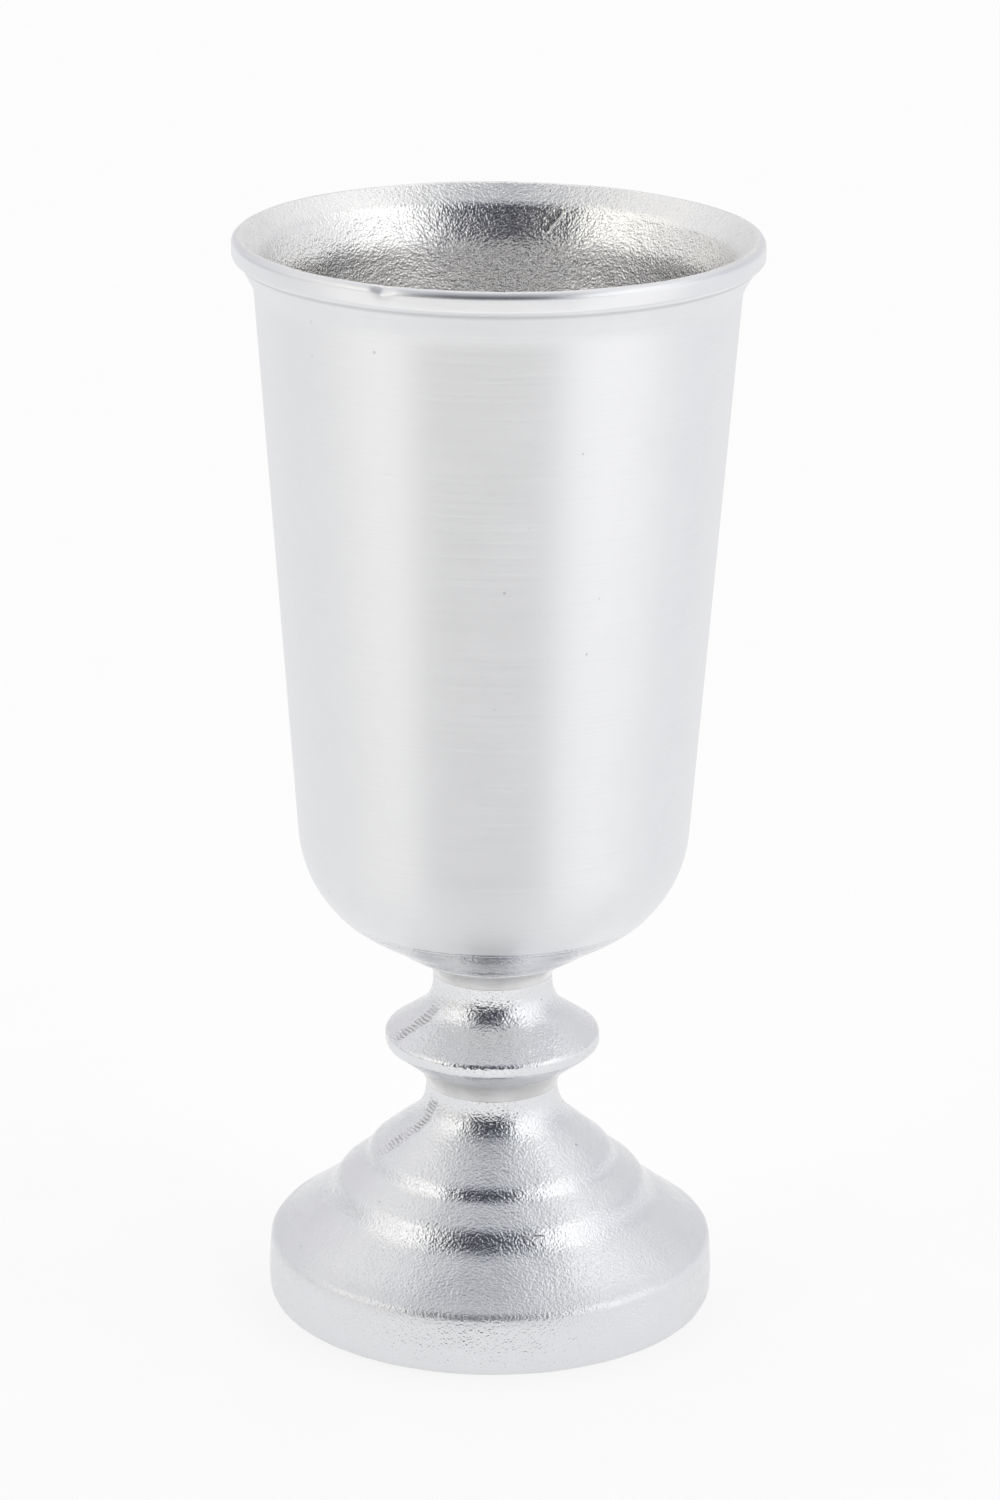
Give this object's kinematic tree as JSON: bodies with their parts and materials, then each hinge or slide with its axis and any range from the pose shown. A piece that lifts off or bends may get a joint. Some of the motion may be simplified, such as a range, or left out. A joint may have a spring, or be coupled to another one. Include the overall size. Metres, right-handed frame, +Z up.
{
  "type": "communion chalice",
  "caption": "Beaker-shaped aluminium chalice: a deep tapered cup with a rolled lip on a flanged knop and a hollow stepped bell foot, held by a stud and nut.",
  "frame": {"origin": "centre of the foot's flat resting face, on the chalice's turning axis", "axes": "+Z up along the turning axis from the foot to the lip; -Y faces the viewer; +X to the viewer's right"},
  "size_m": [0.0804, 0.0804, 0.172],
  "materials": {
    "turned_aluminium": "satin, turned with fine lines round the wall, as cast inside",
    "cast_aluminium": "as cast and tumbled, fine pebbled sparkle",
    "nylon": "matte",
    "zinc_steel": "zinc plated"
  },
  "bodies": {
    "root": {"cup": "turned_aluminium", "knop": "cast_aluminium", "foot": "cast_aluminium", "upper_seal": "nylon", "lower_seal": "nylon", "tie_rod": "zinc_steel", "clamp_washer": "zinc_steel", "spring_washer": "zinc_steel", "hex_nut": "zinc_steel"}
  },
  "joints": []
}
